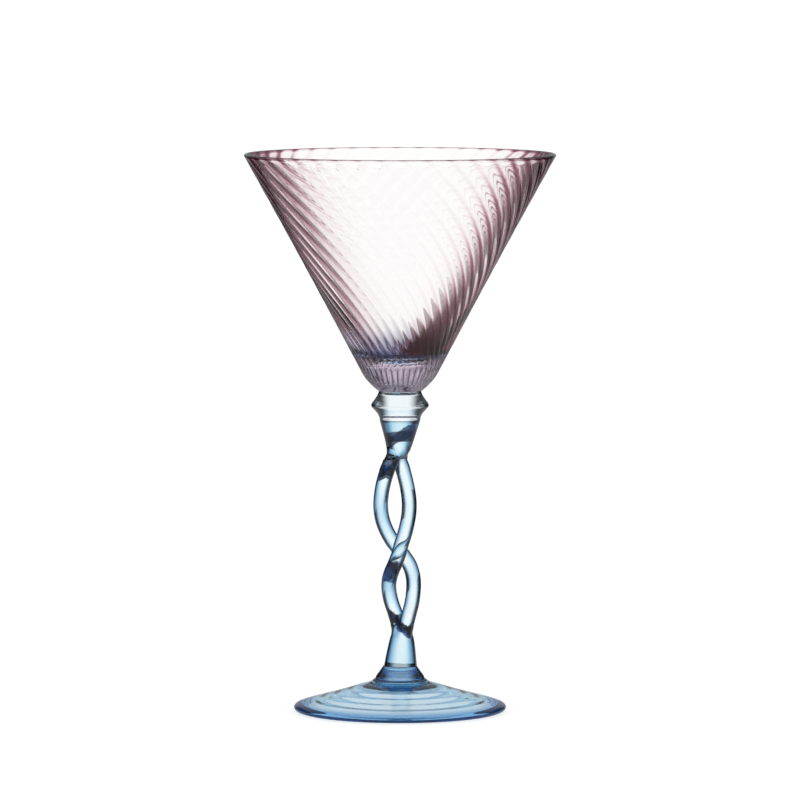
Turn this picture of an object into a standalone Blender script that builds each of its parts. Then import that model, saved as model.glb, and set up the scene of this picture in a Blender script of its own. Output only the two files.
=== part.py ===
"""Martini glass: a spiral-ribbed cone bowl on a twisted two-cane stem and a trumpet foot.

Eight pieces of glass, stacked on one upright axis. Metres, +Z up, the foot resting on z = 0.
"""

import bpy
import bmesh
import math
from mathutils import Vector

MM = 0.001

# ---- overall sizes -------------------------------------------------------------------------
GLASS_HEIGHT = 210.0 * MM
RIM_DIAMETER = 117.0 * MM
FOOT_DIAMETER = 80.0 * MM
SEAT_GAP = 0.3 * MM  # clearance left wherever two pieces are joined

# ---- heights of the pieces, from the table up ----------------------------------------------
FOOT_HEIGHT = 11.3 * MM
STEP_HEIGHT = 5.2 * MM
ROOT_HEIGHT = 14.5 * MM
OPEN_STEM = 64.0 * MM  # from the tip of the root to the tip of the crown
CROWN_HEIGHT = 14.2 * MM
COLLAR_HEIGHT = 10.5 * MM

# ---- bowl ----------------------------------------------------------------------------------
BOWL_SEAT_RADIUS = 8.1 * MM
BOWL_BASE_RADIUS = 14.6 * MM  # where the rounded bottom runs into the straight cone
BOWL_BASE_HEIGHT = 7.4 * MM  # above the bowl's seat
RIM_WALL = 1.5 * MM
LOWER_WALL = 2.3 * MM
BOWL_FLOOR = 10.4 * MM  # solid glass under the hollow
HOLLOW_BOTTOM_RADIUS = 8.5 * MM
RIB_COUNT = 42
RIB_DEPTH = 0.26 * MM  # ridge to groove
RIB_TWIST = -20 * math.pi / RIB_COUNT  # turn of a rib from the bottom to the rim, seen from above
RIB_START = 3.0 * MM  # above the bowl's seat
PLAIN_RIM = 1.2 * MM  # height of smooth, fire-polished glass under the rim
BOWL_ROWS = 15

# ---- collar, a disc with a blunt V edge ----------------------------------------------------
COLLAR_RADIUS = 10.9 * MM
COLLAR_NECK_RADIUS = BOWL_SEAT_RADIUS + 0.05 * MM

# ---- crown and root, the tapers the canes run into -----------------------------------------
CROWN_TOP_RADIUS = 7.55 * MM
COLLAR_FOOT_RADIUS = CROWN_TOP_RADIUS + 0.1 * MM
ROOT_BASE_RADIUS = 6.35 * MM
TIP_WALL = 0.15 * MM  # glass left outside the sockets at the tip of the crown

# ---- canes ---------------------------------------------------------------------------------
CANE_RADIUS = 2.82 * MM
CANE_TIP_RADIUS = 0.69 * CANE_RADIUS
CANE_DEPTH_IN_ROOT = 5.0 * MM
CANE_DEPTH_IN_CROWN = 4.4 * MM
LOOP_RADIUS = 5.35 * MM  # cane centre line to stem axis in the upper, wider loop
LOWER_LOOP_RADIUS = 4.55 * MM
CLOSED_RADIUS = CANE_TIP_RADIUS + SEAT_GAP  # the same where the canes end side by side
STEM_SWAY = 1.5 * MM  # how far the hand-twisted stem leans off the axis
CANE_SIDES = 16
CANE_ROWS = 44

# ---- step, the stacked wafers on the foot --------------------------------------------------
STEP_SHOULDER_RADIUS = 9.15 * MM
STEP_RING_RADIUS = 11.2 * MM

# ---- foot ----------------------------------------------------------------------------------
FOOT_EDGE_HEIGHT = 3.0 * MM
FOOT_PAD_RADIUS = STEP_RING_RADIUS + 0.4 * MM
FOOT_REST_INNER_RADIUS = 34.0 * MM
FOOT_KICK = 5.6 * MM  # how far the underside is hollowed up at the middle

FOOT_RADIUS = FOOT_DIAMETER / 2
RIM_RADIUS = RIM_DIAMETER / 2
FOOT_TOP = FOOT_HEIGHT
STEP_BOTTOM = FOOT_TOP + SEAT_GAP
STEP_TOP = STEP_BOTTOM + STEP_HEIGHT
ROOT_BOTTOM = STEP_TOP + SEAT_GAP
ROOT_TIP = ROOT_BOTTOM + ROOT_HEIGHT
CROWN_TIP = ROOT_TIP + OPEN_STEM
CROWN_TOP = CROWN_TIP + CROWN_HEIGHT
COLLAR_BOTTOM = CROWN_TOP + SEAT_GAP
COLLAR_TOP = COLLAR_BOTTOM + COLLAR_HEIGHT
BOWL_SEAT = COLLAR_TOP + SEAT_GAP
BOWL_HEIGHT = GLASS_HEIGHT - BOWL_SEAT
ROOT_TIP_RADIUS = CLOSED_RADIUS + CANE_TIP_RADIUS
CROWN_TIP_RADIUS = ROOT_TIP_RADIUS + TIP_WALL
CANE_BOTTOM = ROOT_TIP - CANE_DEPTH_IN_ROOT
CANE_TOP = CROWN_TIP + CANE_DEPTH_IN_CROWN


def clear_scene():
    for item in list(bpy.data.objects):
        bpy.data.objects.remove(item, do_unlink=True)


def glass(name, colour, roughness):
    material = bpy.data.materials.new(name)
    material.use_nodes = True
    shader = material.node_tree.nodes["Principled BSDF"]
    shader.inputs["Base Color"].default_value = (*colour, 1.0)
    shader.inputs["Roughness"].default_value = roughness
    shader.inputs["Metallic"].default_value = 0.0
    shader.inputs["IOR"].default_value = 1.52
    shader.inputs["Transmission Weight"].default_value = 1.0
    material.diffuse_color = (*colour, 0.5)
    return material


def add_node(name, mesh, material, sharp_degrees=32.0):
    work = bmesh.new()
    work.from_mesh(mesh)
    bmesh.ops.recalc_face_normals(work, faces=work.faces[:])
    work.to_mesh(mesh)
    work.free()
    mesh.shade_smooth()
    mesh.set_sharp_from_angle(angle=math.radians(sharp_degrees))
    mesh.materials.append(material)
    node = bpy.data.objects.new(name, mesh)
    bpy.context.collection.objects.link(node)
    return node


def skin(rows, closed_ends=True):
    """Points and faces of a tube whose rows each hold the same number of points, or one point."""
    points = [point for row in rows for point in row]
    faces = []
    start = 0
    for low, high in zip(rows, rows[1:]):
        next_start = start + len(low)
        count = max(len(low), len(high))
        for i in range(count):
            j = (i + 1) % count
            if len(low) == 1:
                faces.append((start, next_start + i, next_start + j))
            elif len(high) == 1:
                faces.append((start + i, start + j, next_start))
            else:
                faces.append((start + i, start + j, next_start + j, next_start + i))
        start = next_start
    if closed_ends and len(rows[0]) > 1:
        faces.append(tuple(reversed(range(len(rows[0])))))
    if closed_ends and len(rows[-1]) > 1:
        faces.append(tuple(start + i for i in range(len(rows[-1]))))
    return points, faces


def mesh_of(name, rows):
    points, faces = skin(rows)
    mesh = bpy.data.meshes.new(name)
    mesh.from_pydata(points, [], faces)
    return mesh


def turned(name, profile, material, sides):
    """A solid of revolution spun from (radius, height) pairs that start and end on the axis."""
    work = bmesh.new()
    line = [work.verts.new((r, 0.0, z)) for r, z in profile]
    edges = [work.edges.new(pair) for pair in zip(line, line[1:])]
    bmesh.ops.spin(
        work,
        geom=line + edges,
        cent=(0.0, 0.0, 0.0),
        axis=(0.0, 0.0, 1.0),
        angle=math.tau,
        steps=sides,
        use_merge=True,
    )
    bmesh.ops.remove_doubles(work, verts=work.verts[:], dist=0.001 * MM)
    mesh = bpy.data.meshes.new(name)
    work.to_mesh(mesh)
    work.free()
    return add_node(name, mesh, material)


def arc(centre_radius, centre_height, radius, first_degrees, last_degrees, steps):
    """(radius, height) pairs along an arc of the profile."""
    points = []
    for i in range(steps + 1):
        angle = math.radians(first_degrees + (last_degrees - first_degrees) * i / steps)
        points.append(
            (
                centre_radius + radius * math.cos(angle),
                centre_height + radius * math.sin(angle),
            )
        )
    return points


def ease(t):
    t = min(max(t, 0.0), 1.0)
    return t * t * (3.0 - 2.0 * t)


def mix(a, b, t):
    return a + (b - a) * t


def along(stations, height):
    """Smooth value at a height, from (height, value) stations in rising order."""
    if height <= stations[0][0]:
        return stations[0][1]
    for (z0, v0), (z1, v1) in zip(stations, stations[1:]):
        if height <= z1:
            return mix(v0, v1, ease((height - z0) / (z1 - z0)))
    return stations[-1][1]


def through(stations, height):
    """Like along(), but steadily rising: a Hermite curve with the slopes of the neighbours."""
    count = len(stations)
    slopes = []
    for i in range(count):
        before = stations[max(i - 1, 0)]
        after = stations[min(i + 1, count - 1)]
        slopes.append((after[1] - before[1]) / (after[0] - before[0]))
    height = min(max(height, stations[0][0]), stations[-1][0])
    for i in range(count - 1):
        z0, v0 = stations[i]
        z1, v1 = stations[i + 1]
        if height <= z1:
            span = z1 - z0
            t = (height - z0) / span
            return (
                (2 * t**3 - 3 * t**2 + 1) * v0
                + (t**3 - 2 * t**2 + t) * span * slopes[i]
                + (3 * t**2 - 2 * t**3) * v1
                + (t**3 - t**2) * span * slopes[i + 1]
            )
    return stations[-1][1]


# ---- canes ---------------------------------------------------------------------------------
def up_stem(share):
    """Height of a place on the open stem, as a share of the way from the root to the crown."""
    return mix(ROOT_TIP, CROWN_TIP, share)


# Turn of the first cane about the stem axis in degrees; it lies towards -Y at the crossings.
CANE_TURN = (
    (CANE_BOTTOM, -186.0),
    (ROOT_TIP, -170.0),
    (up_stem(0.105), -137.0),
    (up_stem(0.245), -90.0),
    (up_stem(0.450), 0.0),
    (up_stem(0.728), 90.0),
    (up_stem(0.894), 131.0),
    (CANE_TOP, 168.0),
)
CANE_REACH = (
    (CANE_BOTTOM, CLOSED_RADIUS),
    (ROOT_TIP - 2.6 * MM, CLOSED_RADIUS + 0.2 * MM),
    (up_stem(0.163), LOWER_LOOP_RADIUS),
    (up_stem(0.350), LOWER_LOOP_RADIUS + 0.2 * MM),
    (up_stem(0.569), LOOP_RADIUS),
    (up_stem(0.819), LOOP_RADIUS - 0.1 * MM),
    (CROWN_TIP + 2.9 * MM, CLOSED_RADIUS + 0.1 * MM),
    (CANE_TOP, CLOSED_RADIUS),
)
CANE_THICKNESS = (
    (CANE_BOTTOM, CANE_TIP_RADIUS),
    (ROOT_TIP - 2.6 * MM, CANE_TIP_RADIUS + 0.15 * MM),
    (up_stem(0.100), CANE_RADIUS),
    (up_stem(0.881), CANE_RADIUS),
    (CROWN_TIP + 2.4 * MM, CANE_TIP_RADIUS + 0.1 * MM),
    (CANE_TOP, CANE_TIP_RADIUS),
)
SWAY = (
    (ROOT_TIP, 0.0),
    (up_stem(0.225), 0.4 * STEM_SWAY),
    (up_stem(0.444), -0.2 * STEM_SWAY),
    (up_stem(0.709), -1.1 * STEM_SWAY),
    (CROWN_TIP, 0.0),
)


def cane_centre(height, side):
    turn = math.radians(through(CANE_TURN, height)) + side * math.pi
    reach = along(CANE_REACH, height)
    return Vector(
        (
            along(SWAY, height) + reach * math.sin(turn),
            -reach * math.cos(turn),
            height,
        )
    )


def cane_mesh(name, side, bottom, top, extra, count):
    """A round cane swept along its centre line, its thickness set point by point."""
    curve = bpy.data.curves.new(name, "CURVE")
    curve.dimensions = "3D"
    curve.bevel_depth = 1.0
    curve.bevel_resolution = CANE_SIDES // 4 - 1
    curve.use_fill_caps = True
    line = curve.splines.new("POLY")
    line.points.add(count)
    for i, point in enumerate(line.points):
        height = mix(bottom, top, i / count)
        point.co = (*cane_centre(height, side), 1.0)
        point.radius = along(CANE_THICKNESS, height) + extra
    sweep = bpy.data.objects.new(name + "_sweep", curve)
    bpy.context.collection.objects.link(sweep)
    bpy.context.view_layer.update()
    mesh = bpy.data.meshes.new_from_object(sweep.evaluated_get(bpy.context.evaluated_depsgraph_get()))
    mesh.name = name
    bpy.data.objects.remove(sweep, do_unlink=True)
    bpy.data.curves.remove(curve)
    work = bmesh.new()
    work.from_mesh(mesh)
    bmesh.ops.remove_doubles(work, verts=work.verts[:], dist=0.001 * MM)
    bmesh.ops.recalc_face_normals(work, faces=work.faces[:])
    work.to_mesh(mesh)
    work.free()
    return mesh


def cane(name, side, material):
    mesh = cane_mesh(name, side, CANE_BOTTOM, CANE_TOP, 0.0, CANE_ROWS)
    return add_node(name, mesh, material)


def socket_cutter(name, side, bottom, top):
    cutter = bpy.data.objects.new(name, cane_mesh(name, side, bottom, top, SEAT_GAP, 12))
    bpy.context.collection.objects.link(cutter)
    cutter.hide_render = True
    cutter.display_type = "WIRE"
    return cutter


def cut(node, cutter):
    modifier = node.modifiers.new("socket " + cutter.name, "BOOLEAN")
    modifier.operation = "DIFFERENCE"
    modifier.solver = "EXACT"
    modifier.object = cutter


# ---- bowl ----------------------------------------------------------------------------------
def bowl_outside(height):
    """Outer radius before ribs, by height above the bowl's seat."""
    if height >= BOWL_BASE_HEIGHT:
        t = (height - BOWL_BASE_HEIGHT) / (BOWL_HEIGHT - RIM_WALL / 2 - BOWL_BASE_HEIGHT)
        return mix(BOWL_BASE_RADIUS, RIM_RADIUS, t) - 0.35 * MM * math.sin(math.pi * t)
    t = height / BOWL_BASE_HEIGHT
    slope = (RIM_RADIUS - BOWL_BASE_RADIUS) / (BOWL_HEIGHT - BOWL_BASE_HEIGHT)
    rise = BOWL_BASE_RADIUS - BOWL_SEAT_RADIUS
    run = slope * BOWL_BASE_HEIGHT
    return BOWL_SEAT_RADIUS + run * t + (rise - run) * (1.0 - (1.0 - t) ** 2.4)


def bowl_row(height):
    sides = 2 * RIB_COUNT
    share = (height - RIB_START) / (BOWL_HEIGHT - RIB_START)
    turn = RIB_TWIST * min(max(share, 0.0), 1.0) ** 0.8
    depth = RIB_DEPTH * ease(share / 0.08)
    row = []
    for i in range(sides):
        radius = bowl_outside(height) - (depth if i % 2 else 0.0)
        angle = math.tau * i / sides + turn
        row.append(Vector((radius * math.cos(angle), radius * math.sin(angle), BOWL_SEAT + height)))
    return row


def bowl(name, material):
    sides = 2 * RIB_COUNT
    lip = RIM_WALL / 2
    heights = [0.0, 0.6 * MM, 1.6 * MM, RIB_START, 5.0 * MM, BOWL_BASE_HEIGHT]
    top_row = BOWL_HEIGHT - lip - PLAIN_RIM
    for i in range(1, BOWL_ROWS + 1):
        heights.append(mix(BOWL_BASE_HEIGHT, top_row, (i / BOWL_ROWS) ** 1.1))
    rows = [[Vector((0.0, 0.0, BOWL_SEAT))]]
    rows += [bowl_row(height) for height in heights]
    rim_turn = RIB_TWIST

    def plain(radius, z):
        step = math.tau / sides
        return [
            Vector((radius * math.cos(i * step + rim_turn), radius * math.sin(i * step + rim_turn), z))
            for i in range(sides)
        ]

    for r, z in arc(RIM_RADIUS - lip, GLASS_HEIGHT - lip, lip, 0, 180, 4):
        rows.append(plain(r, z))
    hollow = BOWL_SEAT + BOWL_FLOOR
    wall_top = GLASS_HEIGHT - lip
    foot_of_wall = hollow + 0.62 * HOLLOW_BOTTOM_RADIUS
    low_radius = bowl_outside(foot_of_wall - BOWL_SEAT) - LOWER_WALL
    for i in range(1, 6):
        t = i / 6
        z = mix(wall_top, foot_of_wall, t)
        thickness = mix(RIM_WALL, LOWER_WALL, t**2)
        rows.append(plain(bowl_outside(z - BOWL_SEAT) - thickness, z))
    for i in range(6):
        angle = math.radians(90.0 * i / 6)
        radius = low_radius * math.cos(angle) ** 0.85
        z = foot_of_wall - (foot_of_wall - hollow) * math.sin(angle)
        rows.append(plain(radius, z))
    rows.append([Vector((0.0, 0.0, hollow))])
    return add_node(name, mesh_of(name, rows), material, sharp_degrees=50.0)


# ---- turned pieces -------------------------------------------------------------------------
def collar(name, material):
    height = COLLAR_TOP - COLLAR_BOTTOM
    edge = COLLAR_BOTTOM + 0.53 * height
    profile = [
        (0.0, COLLAR_BOTTOM),
        (COLLAR_FOOT_RADIUS, COLLAR_BOTTOM),
        (COLLAR_FOOT_RADIUS + 0.15 * MM, COLLAR_BOTTOM + 1.0 * MM),
        (mix(COLLAR_FOOT_RADIUS, COLLAR_RADIUS, 0.42), COLLAR_BOTTOM + 2.9 * MM),
        (mix(COLLAR_FOOT_RADIUS, COLLAR_RADIUS, 0.85), COLLAR_BOTTOM + 4.4 * MM),
    ]
    profile += arc(COLLAR_RADIUS - 0.8 * MM, edge, 0.8 * MM, -42, 42, 4)
    profile += [
        (mix(COLLAR_NECK_RADIUS, COLLAR_RADIUS, 0.68), COLLAR_TOP - 3.2 * MM),
        (mix(COLLAR_NECK_RADIUS, COLLAR_RADIUS, 0.28), COLLAR_TOP - 1.6 * MM),
        (COLLAR_NECK_RADIUS, COLLAR_TOP - 0.5 * MM),
        (COLLAR_NECK_RADIUS - 0.15 * MM, COLLAR_TOP),
        (0.0, COLLAR_TOP),
    ]
    return turned(name, profile, material, 48)


def crown(name, material):
    nose = 1.9 * MM
    profile = [(0.0, CROWN_TIP)]
    for i in range(1, 5):
        angle = math.radians(90.0 * i / 4)
        profile.append((CROWN_TIP_RADIUS * math.sin(angle), CROWN_TIP + nose * (1.0 - math.cos(angle))))
    taper = CROWN_TOP - CROWN_TIP - nose
    profile += [
        (mix(CROWN_TIP_RADIUS, CROWN_TOP_RADIUS, 0.30), CROWN_TIP + nose + 0.36 * taper),
        (mix(CROWN_TIP_RADIUS, CROWN_TOP_RADIUS, 0.66), CROWN_TIP + nose + 0.72 * taper),
        (mix(CROWN_TIP_RADIUS, CROWN_TOP_RADIUS, 0.90), CROWN_TIP + nose + 0.93 * taper),
        (CROWN_TOP_RADIUS, CROWN_TOP),
        (0.0, CROWN_TOP),
    ]
    return turned(name, profile, material, 48)


def root(name, material):
    nose = 1.9 * MM
    taper = ROOT_TIP - ROOT_BOTTOM - nose
    profile = [
        (0.0, ROOT_BOTTOM),
        (ROOT_BASE_RADIUS, ROOT_BOTTOM),
        (mix(ROOT_BASE_RADIUS, ROOT_TIP_RADIUS, 0.22), ROOT_BOTTOM + 0.30 * taper),
        (mix(ROOT_BASE_RADIUS, ROOT_TIP_RADIUS, 0.45), ROOT_BOTTOM + 0.62 * taper),
        (mix(ROOT_BASE_RADIUS, ROOT_TIP_RADIUS, 0.86), ROOT_BOTTOM + 0.90 * taper),
    ]
    for i in range(5):
        angle = math.radians(90.0 * i / 4)
        profile.append((ROOT_TIP_RADIUS * math.cos(angle), ROOT_TIP - nose * (1.0 - math.sin(angle))))
    profile[-1] = (0.0, ROOT_TIP)
    return turned(name, profile, material, 48)


def step(name, material):
    profile = [
        (0.0, STEP_BOTTOM),
        (STEP_RING_RADIUS - 0.1 * MM, STEP_BOTTOM),
        (STEP_RING_RADIUS, STEP_BOTTOM + 0.35 * MM),
        (STEP_RING_RADIUS - 0.45 * MM, STEP_BOTTOM + 0.75 * MM),
        (STEP_SHOULDER_RADIUS + 0.3 * MM, STEP_BOTTOM + 1.0 * MM),
    ]
    profile += arc(STEP_SHOULDER_RADIUS - 1.1 * MM, STEP_BOTTOM + 2.2 * MM, 1.1 * MM, -40, 50, 5)
    profile += [
        (mix(ROOT_BASE_RADIUS, STEP_SHOULDER_RADIUS, 0.42), STEP_TOP - 1.2 * MM),
        (ROOT_BASE_RADIUS + 0.15 * MM, STEP_TOP - 0.2 * MM),
        (ROOT_BASE_RADIUS, STEP_TOP),
        (0.0, STEP_TOP),
    ]
    return turned(name, profile, material, 48)


def foot(name, material):
    edge_radius = FOOT_EDGE_HEIGHT / 2
    cone_start = FOOT_RADIUS - 1.1 * MM
    cone_low = FOOT_EDGE_HEIGHT - 0.15 * MM
    underside = []
    for i in range(9):
        t = i / 8
        radius = FOOT_REST_INNER_RADIUS * t
        underside.append((radius, FOOT_KICK * (1.0 - ease(t) * mix(0.9, 1.0, t))))
    underside[-1] = (FOOT_REST_INNER_RADIUS, 0.0)
    profile = list(underside)
    profile.append((FOOT_RADIUS - edge_radius, 0.0))
    profile += arc(FOOT_RADIUS - edge_radius, edge_radius, edge_radius, -60, 50, 5)
    for i in range(8):
        t = i / 8
        radius = mix(cone_start, FOOT_PAD_RADIUS, t)
        bulge = 0.55 * MM * math.sin(math.pi * t) * mix(0.2, -1.0, t)
        profile.append((radius, mix(cone_low, FOOT_TOP, t) + bulge))
    profile += [(FOOT_PAD_RADIUS, FOOT_TOP), (0.0, FOOT_TOP)]
    return turned(name, profile, material, 64)


clear_scene()
PINK = glass("pink_glass", (0.93, 0.80, 0.87), 0.02)
BLUE = glass("blue_glass", (0.42, 0.66, 0.88), 0.02)

bowl("bowl", PINK)
collar("collar", BLUE)
upper = crown("crown", BLUE)
lower = root("root", BLUE)
for side, letter in enumerate("ab"):
    cane("strand_" + letter, side, BLUE)
    cut(upper, socket_cutter("cut_crown_" + letter, side, CROWN_TIP - 3.0 * MM, CANE_TOP + SEAT_GAP))
    cut(lower, socket_cutter("cut_root_" + letter, side, CANE_BOTTOM - SEAT_GAP, ROOT_TIP + 3.0 * MM))
step("step", BLUE)
foot("foot", BLUE)
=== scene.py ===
"""Martini glass, looks: a spiral-ribbed pink bowl on a twisted blue stem and a trumpet foot."""

import math

import bmesh
import bpy
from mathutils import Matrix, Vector, noise


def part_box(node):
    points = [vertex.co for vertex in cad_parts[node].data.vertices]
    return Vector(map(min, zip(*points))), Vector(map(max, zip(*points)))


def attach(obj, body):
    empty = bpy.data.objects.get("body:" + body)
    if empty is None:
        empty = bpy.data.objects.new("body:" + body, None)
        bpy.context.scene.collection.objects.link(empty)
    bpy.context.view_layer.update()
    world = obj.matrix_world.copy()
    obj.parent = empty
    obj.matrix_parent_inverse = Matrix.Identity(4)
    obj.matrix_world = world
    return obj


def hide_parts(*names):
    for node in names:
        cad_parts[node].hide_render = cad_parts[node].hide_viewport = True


MM = 0.001
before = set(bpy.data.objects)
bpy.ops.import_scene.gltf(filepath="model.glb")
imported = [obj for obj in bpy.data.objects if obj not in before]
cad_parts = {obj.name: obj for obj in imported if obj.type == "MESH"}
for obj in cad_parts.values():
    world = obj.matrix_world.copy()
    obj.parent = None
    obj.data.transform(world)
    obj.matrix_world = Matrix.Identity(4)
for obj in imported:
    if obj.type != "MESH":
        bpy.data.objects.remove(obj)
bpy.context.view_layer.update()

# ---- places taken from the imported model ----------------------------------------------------
RIM_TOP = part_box("bowl")[1].z
RIM_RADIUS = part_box("bowl")[1].x
BOWL_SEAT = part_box("bowl")[0].z
COLLAR_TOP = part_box("collar")[1].z
COLLAR_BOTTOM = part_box("collar")[0].z
CROWN_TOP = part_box("crown")[1].z
CROWN_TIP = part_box("crown")[0].z
ROOT_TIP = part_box("root")[1].z
ROOT_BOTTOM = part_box("root")[0].z
STEP_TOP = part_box("step")[1].z
STEP_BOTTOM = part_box("step")[0].z
FOOT_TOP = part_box("foot")[1].z
SEAT_GAP = 0.3 * MM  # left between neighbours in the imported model, filled with glass here
FUSE = 0.06 * MM  # how far one piece of glass runs into the next where they melt together

# ---- light and camera ----------------------------------------------------------------------
TENT_RADIUS = 0.55
TENT_HEIGHT = 0.8
TENT_LEVEL = 1.05
PANEL_DEPTH = 0.92  # share of the cloth's light that a panel takes away
PANEL_TOP = 0.20
PANEL_FADE = 0.10
# middle of each dark panel in degrees from the far side, its half width, and its soft border
DARK_PANELS = (
    (72.0, 38.0, 20.0),
    (-45.0, 12.0, 22.0),
    (-135.0, 12.0, 22.0),
    (180.0, 22.0, 10.0),
)
MIRRORED = 0.35  # the room is dim where the glass only mirrors it
LIGHT_COLOUR = (1.0, 1.0, 0.995, 1.0)
TABLE_RADIUS = 40.0
TABLE_DROP = 0.0002  # keeps the table's face just clear of the foot
TABLE_GLOW = 0.74
TABLE_SHADE = 0.40
ROOM_LEVEL = 1.04
CEILING_FROM = 0.45  # how steeply one looks up before the room starts to darken
CEILING_RISE = 2.2
CEILING_DIMMING = 0.6
ROOM_MIRROR_DIMMING = 0.4
LENS = 298.0
SENSOR_WIDTH = 36.0
LENS_SHIFT = 0.04125
CAMERA_PITCH = math.radians(4.88)
CAMERA_DISTANCE = 2.488
CAMERA_AIM = 0.105
CAMERA_REACH = 120.0

# ---- bowl ----------------------------------------------------------------------------------
BASE_RADIUS = 14.6 * MM
BASE_HEIGHT = 7.4 * MM
SEAT_RADIUS = 8.1 * MM
RIM_WALL = 1.5 * MM
LOW_WALL = 2.3 * MM
BOWL_FLOOR = 10.4 * MM
RIBS = 42
RIB_DEPTH = 0.30 * MM
RIB_TURN_PER_MM = math.radians(-1.13)
RIB_SAMPLES = 10
TURN_START = 9.5 * MM  # the ribs rise straight to here, then twist
BOWL_ROWS = 130
LIP_ROWS = 10
WALL_ROWS = 36
HOLLOW_ROWS = 20
HOLLOW_DEPTH = 5.3 * MM  # of the rounded bottom of the hollow
WALL_BULGE = 0.35 * MM  # how far the cone sags inward between the base and the rim
RIM_RIBS = 0.25  # share of the rib depth that is left near the rim

# ---- glass finish --------------------------------------------------------------------------
GLASS_IOR = 1.5
SMEAR = 0.02
CLOUD_SCALE = 90.0
OUTLINE_DRIFT = 0.03  # how much the clouding shifts an outline
# painted shade: tint of glass from 0, seen face on, to 1, seen edge on, dark at the outline where
# the glass would show its dark surroundings
BLUE_OUTLINE_SHADE = (
    (0.0, (1.0, 1.0, 1.0)),
    (0.03, (0.95, 0.99, 1.0)),
    (0.08, (0.72, 0.87, 0.95)),
    (0.16, (0.38, 0.61, 0.80)),
    (0.26, (0.15, 0.34, 0.56)),
    (0.36, (0.05, 0.13, 0.25)),
    (0.47, (0.002, 0.006, 0.016)),
    (0.70, (0.0, 0.0, 0.001)),
)
PALE_OUTLINE_SHADE = (
    (0.0, (1.0, 1.0, 1.0)),
    (0.28, (0.97, 0.99, 1.0)),
    (0.38, (0.60, 0.74, 0.85)),
    (0.47, (0.12, 0.22, 0.33)),
    (0.54, (0.003, 0.008, 0.02)),
    (0.80, (0.0, 0.0, 0.001)),
)
PINK_OUTLINE_SHADE = (
    (0.0, (1.0, 1.0, 1.0)),
    (0.22, (1.0, 0.995, 0.995)),
    (0.32, (0.94, 0.915, 0.90)),
    (0.44, (0.86, 0.74, 0.755)),
    (0.54, (0.42, 0.20, 0.26)),
    (0.62, (0.11, 0.025, 0.042)),
    (0.76, (0.035, 0.006, 0.014)),
    (1.0, (0.004, 0.0, 0.001)),
)
FOOT_OUTLINE_SHADE = (
    (0.0, (1.0, 1.0, 1.0)),
    (0.5, (0.90, 0.96, 0.99)),
    (0.85, (0.72, 0.86, 0.95)),
    (1.0, (0.42, 0.62, 0.80)),
)
FOOT_EDGE_FROM = 34.5 * MM
FOOT_EDGE_WIDTH = 4.0 * MM
TURNING_MARKS = 3.1 * MM  # from one ring round the foot to the next
# painted light along the foot's edge, where light runs inside the disc: a glow and a deep blue
FOOT_EDGE_GLOW = (0.002, 0.020, 0.058)
FOOT_RING_RADIUS = 14.3 * MM
FOOT_RING_BLUE = (0.14, 0.38, 0.62)
FOOT_EDGE_BLUE = (0.04, 0.19, 0.42)
BASE_LILAC = (0.60, 0.60, 0.72)
# a painted violet shadow and a painted navy band of shade low in the bowl
LOW_SHADOW_VIOLET = (0.20, 0.19, 0.34)
LOW_SHADE_NAVY = (0.008, 0.02, 0.12)
SHADOW_VIOLET_HEIGHT = 136.5 * MM
SHADE_NAVY_HEIGHT = 135.8 * MM
BASE_COLOUR_TOP = 131.5 * MM
LOW_COLOUR_TOP = 168.0 * MM
LOW_COLOUR_REACH = 30.0 * MM
LOW_GATHER = 0.12
RIB_SHADE = 0.26
# painted shade: a dark maroon wedge low on the bowl's east side
SHADE_WEDGE_BOTTOM = 137.0 * MM
SHADE_WEDGE_SLOPE = 0.90
SHADE_WEDGE_JAG = 2.0 * MM
SHADE_WEDGE_SOFT = 1.6 * MM
SHADE_WEDGE_MAROON = (0.11, 0.006, 0.02)
FLUTE_HEIGHT = 127.0 * MM
FLUTE_SHADE = (0.015, 0.015, 0.05)
SEED_SPACING = 2.2 * MM
SEED_RADIUS = 0.22 * MM
SEED_ODDS = 0.72  # share of the cells without a seed
# painted shade on the canes' streaks; the same navy also darkens the collar's seeds
SHADE_AND_SEED_NAVY = (0.0, 0.001, 0.012)
SHADE_STREAK_BLUE = (0.003, 0.06, 0.26)
# each painted navy streak of shade: its height on the axis, half width, lean, raggedness and how
# far east it reaches
SHADE_STREAKS = (
    (93.2 * MM, 3.0 * MM, 0.45, 8.0 * MM, 0.3 * MM),
    (55.0 * MM, 3.0 * MM, 0.45, 8.0 * MM, -0.5 * MM),
    (104.3 * MM, 2.2 * MM, 0.60, 4.0 * MM, 20.0 * MM),
    (33.0 * MM, 1.7 * MM, -0.90, 4.0 * MM, 20.0 * MM),
)

# ---- foot ----------------------------------------------------------------------------------
FOOT_THICKNESS = 3.0 * MM
FOOT_RIM = 40.05 * MM  # smoothing draws the edge in, to a disc 80 mm across
FOOT_WAVE = 0.05 * MM
FOOT_WAVE_LENGTH = 5.2 * MM
FOOT_RING_STEP = 1.3 * MM
FOOT_HOLLOW_RADIUS = 34.0 * MM
FOOT_KICK = 7.4 * MM  # how far the hollow rises under the foot
FOOT_TOP_FACE = (
    (0.0, 11.3 * MM),
    (9.0 * MM, 10.9 * MM),
    (13.2 * MM, 10.35 * MM),
    (15.8 * MM, 9.6 * MM),
    (19.5 * MM, 8.4 * MM),
    (24.7 * MM, 6.85 * MM),
    (29.6 * MM, 5.5 * MM),
    (34.5 * MM, 4.2 * MM),
    (38.0 * MM, 3.15 * MM),
)

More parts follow.
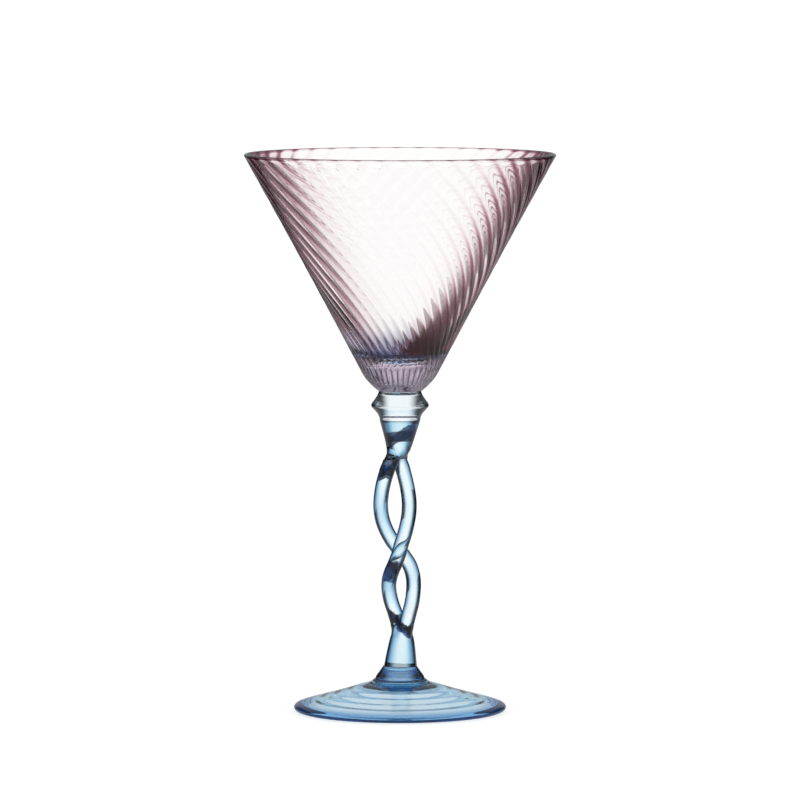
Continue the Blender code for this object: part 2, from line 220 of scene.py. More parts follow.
# ---- canes ---------------------------------------------------------------------------------
CANE_RADIUS = 2.82 * MM
MELT_RADIUS = 2.97 * MM  # the canes swell where they melt into the crown and the root
UPPER_LOOP = 5.35 * MM
LOWER_LOOP = 4.55 * MM
FUSED_REACH = 2.9 * MM
SWAY = 1.8 * MM
CANE_ROWS = 150
CANE_SIDES = 56
CANE_UNEVENNESS = 0.035
TAPER_ROWS = 48
TAPER_SIDES = 112
MELT_SHARPNESS = 10  # the higher, the crisper the crease where a cane leaves a taper


# ---- small tools ---------------------------------------------------------------------------
def mix(a, b, t):
    """The value a share t of the way from a to b."""
    return a + (b - a) * t


def ease(t):
    """A share from 0 to 1 that starts and stops gently."""
    t = min(max(t, 0.0), 1.0)
    return t * t * (3.0 - 2.0 * t)


def through(stations, height):
    """Smooth value at a height, from (height, value) stations in rising order."""
    count = len(stations)
    slopes = []
    for i in range(count):
        before = stations[max(i - 1, 0)]
        after = stations[min(i + 1, count - 1)]
        slopes.append((after[1] - before[1]) / (after[0] - before[0]))
    height = min(max(height, stations[0][0]), stations[-1][0])
    for i in range(count - 1):
        z0, v0 = stations[i]
        z1, v1 = stations[i + 1]
        if height <= z1:
            span = z1 - z0
            t = (height - z0) / span
            return (
                (2 * t**3 - 3 * t**2 + 1) * v0
                + (t**3 - 2 * t**2 + t) * span * slopes[i]
                + (3 * t**2 - 2 * t**3) * v1
                + (t**3 - t**2) * span * slopes[i + 1]
            )
    return stations[-1][1]


def deselect():
    """Leaves nothing picked, so that the next tool works on its own piece only."""
    for thing in list(bpy.context.selected_objects):
        thing.select_set(False)


def finish_piece(piece, node, sharp=None):
    """Faces outward, smooth shading, the piece's place in its mesh, and its part in the frame."""
    work = bmesh.new()
    work.from_mesh(piece.data)
    bmesh.ops.remove_doubles(work, verts=work.verts[:], dist=1e-7)
    bmesh.ops.recalc_face_normals(work, faces=work.faces[:])
    work.to_mesh(piece.data)
    work.free()
    piece.data.shade_smooth()
    if sharp is not None:
        piece.data.set_sharp_from_angle(angle=math.radians(sharp))
    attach(piece, "root")
    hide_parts(node)
    return piece


def skin(name, rows):
    """A closed piece from rows of points; a row of one point is a pole."""
    points = [p for row in rows for p in row]
    faces = []
    start = 0
    for low, high in zip(rows, rows[1:]):
        upper = start + len(low)
        count = max(len(low), len(high))
        for i in range(count):
            j = (i + 1) % count
            if len(low) == 1:
                faces.append((start, upper + i, upper + j))
            elif len(high) == 1:
                faces.append((start + i, start + j, upper))
            else:
                faces.append((start + i, start + j, upper + j, upper + i))
        start = upper
    if len(rows[0]) > 1:
        faces.append(tuple(reversed(range(len(rows[0])))))
    if len(rows[-1]) > 1:
        faces.append(tuple(start + i for i in range(len(rows[-1]))))
    mesh = bpy.data.meshes.new(name)
    mesh.from_pydata(points, [], faces)
    piece = bpy.data.objects.new(name, mesh)
    bpy.context.scene.collection.objects.link(piece)
    return piece


def turn_on_axis(name, profile, sides=64, levels=2):
    """Turns a piece by hand: a disc is added, then drawn out ring by ring along the profile."""
    deselect()
    first_radius, first_height = profile[0]
    bpy.ops.mesh.primitive_circle_add(
        vertices=sides, radius=first_radius, fill_type="NGON", location=(0.0, 0.0, first_height)
    )
    piece = bpy.context.object
    piece.name = name
    bpy.ops.object.transform_apply(location=True, rotation=True, scale=True)
    bpy.ops.object.mode_set(mode="EDIT")
    bpy.ops.mesh.select_all(action="SELECT")
    radius, height = first_radius, first_height
    for next_radius, next_height in profile[1:]:
        bpy.ops.mesh.extrude_region_move(
            TRANSFORM_OT_translate={"value": (0.0, 0.0, next_height - height)}
        )
        share = next_radius / radius
        bpy.ops.transform.resize(
            value=(share, share, 1.0), center_override=(0.0, 0.0, next_height)
        )
        radius, height = next_radius, next_height
    bpy.ops.object.mode_set(mode="OBJECT")
    if levels:
        smooth = piece.modifiers.new("smooth", "SUBSURF")
        smooth.levels = levels
        smooth.render_levels = levels
        bpy.ops.object.modifier_apply(modifier=smooth.name)
    return piece


# ---- shader maths --------------------------------------------------------------------------
class Wire:
    """A shader socket that Python's operators can add up and scale."""

    def __init__(self, sheet, socket):
        self.sheet = sheet
        self.socket = socket

    def sum(self, operation, *others):
        """The outcome of one Math operation."""
        return self.sheet.node("ShaderNodeMath", {"operation": operation}, [self, *others])

    def __add__(self, other):
        return self.sum("ADD", other)

    __radd__ = __add__

    def __mul__(self, other):
        return self.sum("MULTIPLY", other)

    __rmul__ = __mul__

    def __sub__(self, other):
        return self.sum("SUBTRACT", other)

    def __rsub__(self, other):
        return self.sheet.node("ShaderNodeMath", {"operation": "SUBTRACT"}, [other, self])

    def __truediv__(self, other):
        return self.sum("DIVIDE", other)

    def __pow__(self, other):
        return self.sum("POWER", other)

    def clamped(self):
        """Kept between 0 and 1."""
        return self.sheet.node("ShaderNodeClamp", {}, [self, 0.0, 1.0])


class Sheet:
    """One material's or world's node tree."""

    def __init__(self, owner):
        owner.use_nodes = True
        self.tree = owner.node_tree
        self.tree.nodes.clear()

    def add(self, kind, settings=None, inputs=()):
        """A new node of a kind, set up and then wired."""
        made = self.tree.nodes.new(kind)
        for key, value in (settings or {}).items():
            if key == "stops":
                stops = made.color_ramp.elements
                while len(stops) < len(value):
                    stops.new(0.5)
                for stop, (place, colour) in zip(stops, value):
                    stop.position = place
                    stop.color = colour
            else:
                setattr(made, key, value)
        pairs = inputs.items() if isinstance(inputs, dict) else enumerate(inputs)
        for key, value in pairs:
            if isinstance(value, Wire):
                self.tree.links.new(value.socket, made.inputs[key])
            elif value is not None:
                made.inputs[key].default_value = value
        return made

    def node(self, kind, settings=None, inputs=(), output=0):
        """One output of a new node."""
        return Wire(self, self.add(kind, settings, inputs).outputs[output])


def tinted(sheet, share, first, second):
    """A colour between two, each a colour or a wire."""
    first, second = (c if isinstance(c, Wire) else (*c, 1.0) for c in (first, second))
    return sheet.node("ShaderNodeMix", {"data_type": "RGBA"}, {0: share, 6: first, 7: second}, 2)


def cloudy(sheet, place, scale, detail, roughness):
    """Soft uneven clouding, from 0 to 1."""
    return sheet.node(
        "ShaderNodeTexNoise",
        {"noise_dimensions": "3D"},
        {"Vector": place, "Scale": scale, "Detail": detail, "Roughness": roughness},
    )


def glass(name, absorption, tint, ripple, ripple_size, glow=None):
    """Clear coloured glass: its colour comes from its depth, and its surface is faintly uneven.

    tint() paints shade into the outline of glass met at a glancing angle, where the glass would
    show its dark surroundings.
    """
    material = bpy.data.materials.new(name)
    sheet = Sheet(material)
    place = sheet.node("ShaderNodeTexCoord", {}, {}, "Object")
    wave = cloudy(sheet, place, 1.0 / ripple_size, 2.0, 0.45)
    bump = sheet.node("ShaderNodeBump", {}, {"Strength": 1.0, "Distance": ripple, "Height": wave})
    cloud = cloudy(sheet, place, CLOUD_SCALE, 3.0, 0.6)
    # painted shade: how glancing the surface is darkens its colour towards the outline
    glancing = sheet.node("ShaderNodeLayerWeight", {}, {"Blend": 0.5}, "Facing")
    shader = sheet.node(
        "ShaderNodeBsdfPrincipled",
        {},
        {
            "Base Color": tint(sheet, place, glancing, cloud),
            "Roughness": ((cloud - 0.45) * SMEAR).clamped(),
            "Metallic": 0.0,
            "IOR": GLASS_IOR,
            "Transmission Weight": 1.0,
            "Normal": bump,
            # painted glow, given to the foot only
            "Emission Color": glow(sheet, place) if glow else None,
            "Emission Strength": 1.0 if glow else 0.0,
        },
    )
    strongest = max(absorption)
    depth = sheet.node(
        "ShaderNodeVolumeAbsorption",
        {},
        {
            "Color": tuple(1.0 - a / strongest for a in absorption) + (1.0,),
            "Density": strongest,
        },
    )
    sheet.add("ShaderNodeOutputMaterial", {}, {"Surface": shader, "Volume": depth})
    return material


def soft_band(value, middle, half, soft):
    """1 within half of the middle, easing to 0 over the soft width."""
    return 1.0 - (((value - middle).sum("ABSOLUTE") - half) / soft).clamped()


def split(sheet, place):
    """East, north and up of a place."""
    parts = sheet.add("ShaderNodeSeparateXYZ", {}, [place])
    return [Wire(sheet, parts.outputs[i]) for i in range(3)]


def ramp(sheet, value, stops):
    """The colour at a value, from (value, colour) stops."""
    return sheet.node(
        "ShaderNodeValToRGB", {"stops": [(at, (*tint, 1.0)) for at, tint in stops]}, {0: value}
    )


def from_axis(sheet, place):
    """Distance from the glass's upright axis."""
    east, north, _ = split(sheet, place)
    return (east * east + north * north) ** 0.5


def blue_tint(sheet, place, glancing, cloud):
    """Blue glass with a thin outline of painted shade."""
    return ramp(sheet, glancing * 0.72 + (cloud - 0.5) * OUTLINE_DRIFT, BLUE_OUTLINE_SHADE)


def seeds(sheet, place):
    """Tiny air bubbles, sparse and of uneven size, 1 inside one."""
    cells = {"Vector": place, "Scale": 1.0 / SEED_SPACING}
    near = sheet.node("ShaderNodeTexVoronoi", {}, cells, "Distance")
    pick = sheet.node("ShaderNodeTexVoronoi", {}, cells, "Color")
    odds = sheet.node("ShaderNodeSeparateColor", {}, [pick], "Red")
    size = (odds - SEED_ODDS).clamped() * (SEED_RADIUS * 3.6 / SEED_SPACING)
    return ((size - near) * 40.0).clamped()


def pale_tint(sheet, place, glancing, cloud):
    """Almost clear glass with an outline of painted shade and a few seeds."""
    clear = ramp(sheet, glancing + (cloud - 0.5) * OUTLINE_DRIFT, PALE_OUTLINE_SHADE)
    return tinted(sheet, seeds(sheet, place) * 0.8, clear, SHADE_AND_SEED_NAVY)


def foot_edge(sheet, place):
    """1 round the foot's thick edge, where light runs inside the glass, easing to 0 inward."""
    return ((from_axis(sheet, place) - FOOT_EDGE_FROM) / FOOT_EDGE_WIDTH).clamped()


def foot_glow(sheet, place):
    """A painted glow along the foot's edge, standing in for the light that the disc carries out to
    it.
    """
    return tinted(sheet, foot_edge(sheet, place), (0.0, 0.0, 0.0), FOOT_EDGE_GLOW)


def foot_tint(sheet, place, glancing, cloud):
    """Turning marks ring the foot, a little deeper than the glass between them."""
    out = from_axis(sheet, place)
    marks = (out * (math.tau / TURNING_MARKS) + cloud * 3.0).sum("SINE")
    # faint painted shade towards the foot's outline
    colour = ramp(sheet, glancing + marks * 0.02 + (cloud - 0.5) * 0.08, FOOT_OUTLINE_SHADE)
    ring = soft_band(out, FOOT_RING_RADIUS, 1.3 * MM, 1.2 * MM)
    colour = tinted(sheet, ring * 0.5, colour, FOOT_RING_BLUE)
    # painted light: deep blue along the foot's edge
    return tinted(sheet, foot_edge(sheet, place) * 0.9, colour, FOOT_EDGE_BLUE)


def stem_tint(sheet, place, glancing, cloud):
    """Where the two canes cross they melt together, and painted navy streaks of shade darken them
    there.
    """
    east, _, up = split(sheet, place)
    swirl = cloudy(sheet, place, 260.0, 2.0, 0.5)
    dark = None
    # painted shade: navy streaks where the canes cross
    for middle, half, slope, rag, reach in SHADE_STREAKS:
        shade_streak = soft_band(up + (swirl - 0.5) * rag - east * slope, middle, half, 0.5 * MM)
        shade_streak = shade_streak * ((reach - east) / (0.6 * MM)).clamped()
        dark = shade_streak if dark is None else dark.sum("MAXIMUM", shade_streak)
    # painted shade at the canes' outlines
    outline = ramp(sheet, glancing + (cloud - 0.5) * OUTLINE_DRIFT, BLUE_OUTLINE_SHADE)
    shade_streak_blue = tinted(sheet, ((swirl - 0.52) * 8.0).clamped(), SHADE_AND_SEED_NAVY, SHADE_STREAK_BLUE)
    return tinted(sheet, dark * 0.985, outline, shade_streak_blue)


def bowl_tint(sheet, place, glancing, cloud):
    """Painted shade darkens one flank of each rib, most near the outline; the colour also deepens
    low down.
    """
    east, north, up = split(sheet, place)
    above_seat = up - (BOWL_SEAT + TURN_START)
    climbed = above_seat.sum("MAXIMUM", 0.0) / MM
    turn = north.sum("ARCTAN2", east) - climbed * RIB_TURN_PER_MM
    flank = ((turn * RIBS + 0.9).sum("SINE") * 0.5 + 0.5) ** 2.2
    low = ((LOW_COLOUR_TOP - up) / LOW_COLOUR_REACH).clamped()
    rim = ((up - (RIM_TOP - 1.3 * MM)) / (0.6 * MM)).clamped()
    # painted shade: the dark maroon wedge
    beside = (east + (flank - 0.5) * SHADE_WEDGE_JAG - (up - SHADE_WEDGE_BOTTOM) * SHADE_WEDGE_SLOPE) / SHADE_WEDGE_SOFT
    shade_wedge = beside.clamped() * ((up - SHADE_WEDGE_BOTTOM + 3.0 * MM) / (3.0 * MM)).clamped() * low
    # painted shade along one flank of each rib
    rib_shade = flank * RIB_SHADE * (glancing * 1.1 + 0.5)
    depth = glancing + rib_shade + low * LOW_GATHER + rim * 0.2 + (cloud - 0.5) * 0.05
    colour = ramp(sheet, depth - 0.06, PINK_OUTLINE_SHADE)
    # painted shadow: a soft violet band
    painted_shadow = soft_band(up, SHADOW_VIOLET_HEIGHT, 2.0 * MM, 7.0 * MM)
    colour = tinted(sheet, painted_shadow * 0.5, colour, LOW_SHADOW_VIOLET)
    # painted shade: a dark navy band
    painted_shade_band = soft_band(up + flank * (1.2 * MM), SHADE_NAVY_HEIGHT, 0.7 * MM, 1.6 * MM)
    colour = tinted(sheet, painted_shade_band * 0.85, colour, LOW_SHADE_NAVY)
    colour = tinted(sheet, shade_wedge * 0.95, colour, SHADE_WEDGE_MAROON)
    in_base = ((BASE_COLOUR_TOP - up) / (2.0 * MM)).clamped()
    strokes = flank * soft_band(up, FLUTE_HEIGHT, 2.6 * MM, 2.2 * MM)
    base = tinted(sheet, strokes, BASE_LILAC, FLUTE_SHADE)
    return tinted(sheet, in_base, colour, base)


# ---- bowl ----------------------------------------------------------------------------------
def bowl_outside(height):
    """Outer radius before the ribs, by height above the bowl's seat."""
    tall = RIM_TOP - BOWL_SEAT
    if height >= BASE_HEIGHT:
        t = (height - BASE_HEIGHT) / (tall - RIM_WALL / 2 - BASE_HEIGHT)
        return mix(BASE_RADIUS, RIM_RADIUS, t) - WALL_BULGE * math.sin(math.pi * t)
    t = height / BASE_HEIGHT
    slope = (RIM_RADIUS - BASE_RADIUS) / (tall - BASE_HEIGHT)
    rise = BASE_RADIUS - SEAT_RADIUS
    run = slope * BASE_HEIGHT
    return SEAT_RADIUS + run * t + (rise - run) * (1.0 - (1.0 - t) ** 2.4)


def rib_shape(share):
    """Depth of the groove across one rib, 0 on the ridge and 1 in the groove."""
    wave = 0.5 - 0.5 * math.cos(math.tau * share)
    return wave**1.5


def make_bowl():
    """Rows from the seat up the ribbed outside, over the lip and down into the hollow."""
    tall = RIM_TOP - BOWL_SEAT
    sides = RIBS * RIB_SAMPLES
    lip = RIM_WALL / 2
    rows = [[Vector((0.0, 0.0, BOWL_SEAT))]]
    top = tall - lip

    def ring(height, radius_of, ribbed):
        """One level row of points, grooved by the share ribbed of the rib depth."""
        turn = RIB_TURN_PER_MM * (max(height - TURN_START, 0.0) / MM)
        row = []
        for i in range(sides):
            angle = math.tau * i / sides
            radius = radius_of
            if ribbed > 0.0:
                radius -= ribbed * RIB_DEPTH * rib_shape(i / RIB_SAMPLES)
            angle += turn
            row.append(
                Vector((radius * math.cos(angle), radius * math.sin(angle), BOWL_SEAT + height))
            )
        return row

    for i in range(1, 4):
        rows.append(ring(0.0, SEAT_RADIUS * i / 3.2, 0.0))
    for i in range(BOWL_ROWS + 1):
        height = top * (i / BOWL_ROWS) ** 1.25
        fade = ease((height - 2.0 * MM) / (3.0 * MM)) * ease((top - height) / (2.5 * MM))
        least = RIM_RIBS if height > top / 2 else 0.0
        rows.append(ring(height, bowl_outside(height), max(fade, least)))
    for i in range(1, LIP_ROWS):
        angle = math.pi * i / LIP_ROWS
        rows.append(
            ring(top + lip * math.sin(angle), RIM_RADIUS - lip + lip * math.cos(angle), 0.0)
        )
    wall_foot = BOWL_FLOOR + HOLLOW_DEPTH
    low_radius = bowl_outside(wall_foot) - LOW_WALL
    for i in range(WALL_ROWS):
        t = i / WALL_ROWS
        height = mix(top, wall_foot, t)
        wall = mix(RIM_WALL, LOW_WALL, t**2)
        rows.append(ring(height, bowl_outside(height) - wall, 0.0))
    for i in range(HOLLOW_ROWS):
        angle = math.radians(90.0 * i / HOLLOW_ROWS)
        radius = low_radius * math.cos(angle) ** 0.85
        rows.append(ring(wall_foot - (wall_foot - BOWL_FLOOR) * math.sin(angle), radius, 0.0))
    rows.append([Vector((0.0, 0.0, BOWL_SEAT + BOWL_FLOOR))])
    return finish_piece(skin("glass_bowl", rows), "bowl")


# ---- canes, crown and root -----------------------------------------------------------------
def up_stem(share):
    """Height of a share of the way up the open stem."""
    return mix(ROOT_TIP, CROWN_TIP, share)


CROWN_MELT = CROWN_TIP - 0.4 * MM  # the canes part here, at the crown's tip
ROOT_MELT = ROOT_TIP + 0.8 * MM  # and here, at the root's
# turn of the first cane in degrees; it lies towards the front at 0
CANE_TURN = (
    (ROOT_TIP - 5.0 * MM, -172.0),
    (ROOT_TIP, -152.0),
    (up_stem(0.105), -131.0),
    (up_stem(0.245), -90.0),
    (up_stem(0.450), 0.0),
    (up_stem(0.728), 90.0),
    (up_stem(0.894), 129.0),
    (CROWN_TIP + 4.4 * MM, 164.0),
)
# distance of each cane's middle from the middle of the stem
CANE_REACH = (
    (ROOT_TIP - 4.0 * MM, 2.0 * MM),
    (ROOT_MELT, FUSED_REACH),
    (up_stem(0.080), 3.8 * MM),
    (up_stem(0.163), LOWER_LOOP),
    (up_stem(0.350), LOWER_LOOP + 0.2 * MM),
    (up_stem(0.569), UPPER_LOOP),
    (up_stem(0.790), UPPER_LOOP - 0.1 * MM),
    (up_stem(0.930), 4.25 * MM),
    (CROWN_MELT, FUSED_REACH),
    (CROWN_TIP + 5.0 * MM, 2.0 * MM),
)
# how far the middle of the stem leans east of the axis
STEM_SWAY = (
    (ROOT_BOTTOM, 0.1 * SWAY),
    (ROOT_TIP, 0.45 * SWAY),
    (up_stem(0.225), 0.25 * SWAY),
    (up_stem(0.364), 0.30 * SWAY),
    (up_stem(0.434), -0.05 * SWAY),
    (up_stem(0.505), -0.62 * SWAY),
    (up_stem(0.600), -0.97 * SWAY),
    (up_stem(0.709), -1.05 * SWAY),
    (up_stem(0.980), -0.97 * SWAY),
    (CROWN_TIP + 3.7 * MM, -0.25 * SWAY),
    (CROWN_TOP, 0.0),
)


def cane_centre(height, side):
    """Middle of the first cane (side 0) or the second (side 1) at a height."""
    turn = math.radians(through(CANE_TURN, height)) + side * math.pi
    reach = through(CANE_REACH, height)
    return Vector(
        (through(STEM_SWAY, height) + reach * math.sin(turn), -reach * math.cos(turn), height)
    )


def make_cane(name, node, side):
    """A round cane, cut level row by row, faintly uneven in thickness."""
    rows = []
    low, high = ROOT_MELT - FUSE, CROWN_MELT + FUSE
    for i in range(CANE_ROWS + 1):
        height = mix(low, high, i / CANE_ROWS)
        centre = cane_centre(height, side)
        step = 0.05 * MM
        drift = (cane_centre(height + step, side) - cane_centre(height - step, side)) / (2 * step)
        flat = Vector((drift.x, drift.y, 0.0))
        lean = flat.length
        along_lean = flat.normalized() if lean > 1e-6 else Vector((1.0, 0.0, 0.0))
        across = Vector((-along_lean.y, along_lean.x, 0.0))
        stretch = math.sqrt(1.0 + lean * lean)
        uneven = noise.noise(Vector((side * 7.3, 0.0, height * 90.0)))
        radius = CANE_RADIUS * (1.0 + CANE_UNEVENNESS * uneven)
        row = []
        for k in range(CANE_SIDES):
            angle = math.tau * k / CANE_SIDES
            row.append(
                centre
                + along_lean * (radius * stretch * math.cos(angle))
                + across * (radius * math.sin(angle))
            )
        rows.append(row)
    return finish_piece(skin(name, rows), node, sharp=50)


def fused_ring(height, cone_radius):
    """Outline where the solid taper and the two canes have melted into one."""
    turn = math.radians(through(CANE_TURN, height))
    reach = through(CANE_REACH, height)
    sway = through(STEM_SWAY, height)
    heading = Vector((math.sin(turn), -math.cos(turn)))
    row = []
    for i in range(TAPER_SIDES):
        angle = math.tau * i / TAPER_SIDES
        look = Vector((math.cos(angle), math.sin(angle)))
        ahead = abs(look.dot(heading))
        aside_sq = max(0.0, 1.0 - ahead * ahead)
        inside = MELT_RADIUS**2 - reach**2 * aside_sq
        cane_edge = reach * ahead + math.sqrt(max(inside, 0.0))
        edge = cone_radius**MELT_SHARPNESS + cane_edge**MELT_SHARPNESS
        edge = edge ** (1.0 / MELT_SHARPNESS)
        row.append(Vector((sway + edge * look.x, edge * look.y, height)))
    return row


def make_taper(name, node, bottom, top, cone):
    """The solid crown or root, cone(height) in radius where the canes don't reach further."""
    rows = []
    for i in range(TAPER_ROWS + 1):
        height = mix(bottom, top, i / TAPER_ROWS)
        rows.append(fused_ring(height, cone(height)))
    return finish_piece(skin(name, rows), node, sharp=60)


def crown_radius(height):
    """Radius of the crown apart from the canes."""
    low = CROWN_TIP + 3.0 * MM
    if height < low:
        return mix(2.9 * MM, 4.45 * MM, ((height - CROWN_MELT) / (low - CROWN_MELT)) ** 0.6)
    t = (height - low) / (CROWN_TOP - low)
    return mix(4.45 * MM, 7.6 * MM, t**1.05)


def root_radius(height):
    """Radius of the root apart from the canes."""
    high = ROOT_TIP - 3.0 * MM
    if height > high:
        return mix(3.4 * MM, 4.13 * MM, ((ROOT_MELT - height) / (ROOT_MELT - high)) ** 0.6)
    t = (high - height) / (high - ROOT_BOTTOM)
    return mix(4.13 * MM, 6.2 * MM, t**0.75)


# ---- turned pieces -------------------------------------------------------------------------
def make_collar():
    """A disc with a blunt V edge, melted into the crown below and the bowl above."""
    low = COLLAR_BOTTOM - FUSE * 3
    high = BOWL_SEAT + FUSE
    edge = COLLAR_BOTTOM + 5.3 * MM
    profile = [
        (3.0 * MM, low),
        (7.3 * MM, low),
        (7.62 * MM, low + 0.02 * MM),
        (7.75 * MM, COLLAR_BOTTOM + 0.9 * MM),
        (8.2 * MM, COLLAR_BOTTOM + 2.0 * MM),
        (9.6 * MM, edge - 1.7 * MM),
        (10.55 * MM, edge - 0.75 * MM),
        (10.98 * MM, edge),
        (10.75 * MM, edge + 0.8 * MM),
        (9.7 * MM, edge + 2.1 * MM),
        (8.7 * MM, COLLAR_TOP - 1.6 * MM),
        (8.12 * MM, COLLAR_TOP - 0.5 * MM),
        (8.05 * MM, high),
        (7.6 * MM, high),
        (3.0 * MM, high),
    ]
    return finish_piece(turn_on_axis("glass_collar", profile), "collar")


def make_step():
    """A low ring with a rounded shoulder above it."""
    low = STEP_BOTTOM - SEAT_GAP - FUSE
    high = STEP_TOP + SEAT_GAP + FUSE
    profile = [
        (4.0 * MM, low),
        (9.9 * MM, low),
        (10.4 * MM, low + 0.12 * MM),
        (10.4 * MM, low + 0.5 * MM),
        (9.75 * MM, low + 0.8 * MM),
        (9.25 * MM, low + 1.1 * MM),
        (9.2 * MM, low + 1.7 * MM),
        (8.7 * MM, low + 2.5 * MM),
        (7.7 * MM, low + 3.8 * MM),
        (6.75 * MM, high - 0.8 * MM),
        (6.35 * MM, high - 0.1 * MM),
        (6.1 * MM, high),
        (3.0 * MM, high),
    ]
    return finish_piece(turn_on_axis("glass_step", profile), "step")


def foot_top(out):
    """Height of the foot's upper face at a distance from the axis."""
    return through(FOOT_TOP_FACE, out)


def make_foot():
    """A trumpet-shaped disc of nearly even thickness, faintly ringed underneath."""
    under = []
    ring = 2.0 * MM
    while ring < FOOT_HOLLOW_RADIUS:
        wave = FOOT_WAVE * math.sin(math.tau * ring / FOOT_WAVE_LENGTH)
        under.append((ring, min(foot_top(ring) - FOOT_THICKNESS + wave, FOOT_KICK)))
        ring += FOOT_RING_STEP
    profile = [
        (0.6 * MM, FOOT_KICK),
        *under,
        (34.6 * MM, 0.85 * MM),
        (35.3 * MM, 0.25 * MM),
        (35.9 * MM, 0.0),
        (36.6 * MM, 0.0),
        (38.0 * MM, 0.0),
        (39.2 * MM, 0.25 * MM),
        (FOOT_RIM, 1.0 * MM),
        (FOOT_RIM, 1.9 * MM),
        (39.3 * MM, 2.65 * MM),
        *((out, height) for out, height in reversed(FOOT_TOP_FACE[2:])),
        (11.8 * MM, 10.5 * MM),
        (11.35 * MM, 10.7 * MM),
        (11.2 * MM, 11.1 * MM),
        (10.8 * MM, FOOT_TOP),
        (3.0 * MM, FOOT_TOP),
    ]
    return finish_piece(turn_on_axis("glass_foot", profile, sides=96), "foot")


# ---- light, floor and camera ---------------------------------------------------------------
def in_mirror_image(sheet):
    """1 where the glass mirrors a surface, 0 where it is seen straight or through the glass."""
    bounced = sheet.node("ShaderNodeLightPath", {}, {}, "Is Glossy Ray")
    through_glass = sheet.node("ShaderNodeLightPath", {}, {}, "Is Transmission Ray")
    return bounced * (1.0 - through_glass)


def lit_surface(name, glow, shade):
    """A pale matt surface with a light of its own, dim in the glass's mirror images."""
    material = bpy.data.materials.new(name)
    sheet = Sheet(material)
    dull = sheet.node("ShaderNodeBsdfDiffuse", {}, {"Color": (shade, shade, shade, 1.0)})
    mirrored = in_mirror_image(sheet)
    light = sheet.node(
        "ShaderNodeEmission", {}, {"Strength": glow * (1.0 - (1.0 - MIRRORED) * mirrored)}
    )
    both = sheet.node("ShaderNodeAddShader", {}, [dull, light])
    sheet.add("ShaderNodeOutputMaterial", {}, {"Surface": both})
    return material


def make_tent():
    """White cloth round the glass with dark panels between its windows.

    Glass bends light from the panels into its outlines, which turn dark.
    """
    deselect()
    bpy.ops.mesh.primitive_cylinder_add(
        vertices=128, radius=TENT_RADIUS, depth=TENT_HEIGHT, end_fill_type="NOTHING"
    )
    tent = bpy.context.object
    tent.name = "light_tent"
    tent.location = (0.0, 0.0, TENT_HEIGHT / 2)
    material = bpy.data.materials.new("tent_cloth")
    sheet = Sheet(material)
    place = sheet.node("ShaderNodeTexCoord", {}, {}, "Object")
    east, north, up = split(sheet, place)
    angle = east.sum("ARCTAN2", north) * math.degrees(1.0)
    dark = None
    for middle, half, soft in DARK_PANELS:
        away = (angle - middle).sum("ABSOLUTE")
        away = away.sum("MINIMUM", 360.0 - away)
        panel = 1.0 - ((away - half) / soft).clamped()
        dark = panel if dark is None else dark.sum("MAXIMUM", panel)
    below = 1.0 - ((up + TENT_HEIGHT / 2 - PANEL_TOP) / PANEL_FADE).clamped()
    dark = dark * dark * (3.0 - 2.0 * dark) * below
    mirrored = in_mirror_image(sheet)
    level = TENT_LEVEL * (1.0 - PANEL_DEPTH * dark) * (1.0 - (1.0 - MIRRORED) * mirrored)
    light = sheet.node("ShaderNodeEmission", {}, {"Color": LIGHT_COLOUR, "Strength": level})
    sheet.add("ShaderNodeOutputMaterial", {}, {"Surface": light})
    tent.data.materials.append(material)
    tent.visible_camera = False
    tent.visible_diffuse = False
    tent.visible_shadow = False


def make_stage():
    """The pale table and the light tent over it."""
    deselect()
    bpy.ops.mesh.primitive_circle_add(vertices=96, radius=TABLE_RADIUS, fill_type="NGON")
    floor = bpy.context.object
    floor.name = "floor"
    floor.location = (0.0, 0.0, -TABLE_DROP)
    floor.data.materials.append(lit_surface("pale_table", TABLE_GLOW, TABLE_SHADE))
    make_tent()


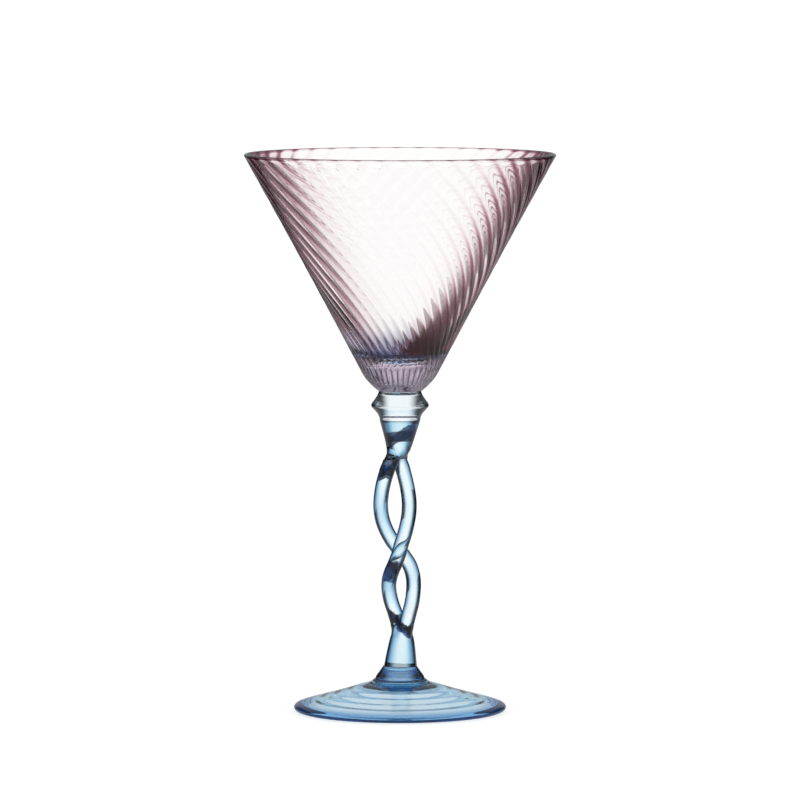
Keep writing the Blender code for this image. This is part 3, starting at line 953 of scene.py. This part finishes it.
def make_world():
    """An evenly bright room that darkens overhead, where only the glass sees it."""
    world = bpy.data.worlds.new("studio")
    bpy.context.scene.world = world
    sheet = Sheet(world)
    place = sheet.node("ShaderNodeTexCoord", {}, {}, "Generated")
    _, _, height = split(sheet, place)
    overhead = ((height - CEILING_FROM) * CEILING_RISE).clamped()
    level = ROOM_LEVEL - CEILING_DIMMING * overhead
    seen = sheet.node("ShaderNodeLightPath", {}, {}, "Is Camera Ray")
    mirrored = in_mirror_image(sheet)
    bare = seen * ROOM_LEVEL
    level = bare + (1.0 - seen) * level * (1.0 - ROOM_MIRROR_DIMMING * mirrored)
    back = sheet.node("ShaderNodeBackground", {}, {"Color": LIGHT_COLOUR, "Strength": level})
    sheet.add("ShaderNodeOutputWorld", {}, {"Surface": back})


def make_camera():
    """A distant lens that looks slightly down on the glass."""
    data = bpy.data.cameras.new("camera")
    data.lens = LENS
    data.sensor_width = SENSOR_WIDTH
    data.shift_y = LENS_SHIFT
    data.clip_end = CAMERA_REACH
    camera = bpy.data.objects.new("camera", data)
    bpy.context.scene.collection.objects.link(camera)
    back = CAMERA_DISTANCE * math.cos(CAMERA_PITCH)
    rise = CAMERA_DISTANCE * math.sin(CAMERA_PITCH)
    camera.location = Vector((0.0, 0.0, CAMERA_AIM)) + Vector((0.0, -back, rise))
    camera.rotation_euler = (math.radians(90.0) - CAMERA_PITCH, 0.0, 0.0)
    bpy.context.scene.camera = camera


def dress(piece, material):
    """Gives a piece its glass and its colour slot."""
    piece.data.materials.clear()
    piece.data.materials.append(material)


make_camera()
make_world()
make_stage()
bpy.context.scene.view_settings.view_transform = "Standard"

pink = glass("pink_glass", (3.0, 8.0, 6.0), bowl_tint, 0.02 * MM, 5.0 * MM)
pale = glass("pale_blue_glass", (6.0, 2.5, 1.0), pale_tint, 0.02 * MM, 4.0 * MM)
blue = glass("blue_glass", (22.0, 8.0, 3.0), stem_tint, 0.03 * MM, 4.0 * MM)
deep = glass("deep_blue_glass", (30.0, 12.0, 4.0), blue_tint, 0.03 * MM, 4.0 * MM)
broad = glass("foot_glass", (75.0, 30.0, 10.0), foot_tint, 0.04 * MM, 8.0 * MM, foot_glow)

dress(make_bowl(), pink)
dress(make_collar(), pale)
dress(
    make_taper("glass_crown", "crown", CROWN_MELT, CROWN_TOP + 0.2 * MM, crown_radius),
    blue,
)
dress(make_cane("glass_cane_a", "strand_a", 0), blue)
dress(make_cane("glass_cane_b", "strand_b", 1), blue)
dress(
    make_taper("glass_root", "root", ROOT_BOTTOM - 0.1 * MM, ROOT_MELT, root_radius),
    blue,
)
dress(make_step(), deep)
dress(make_foot(), broad)
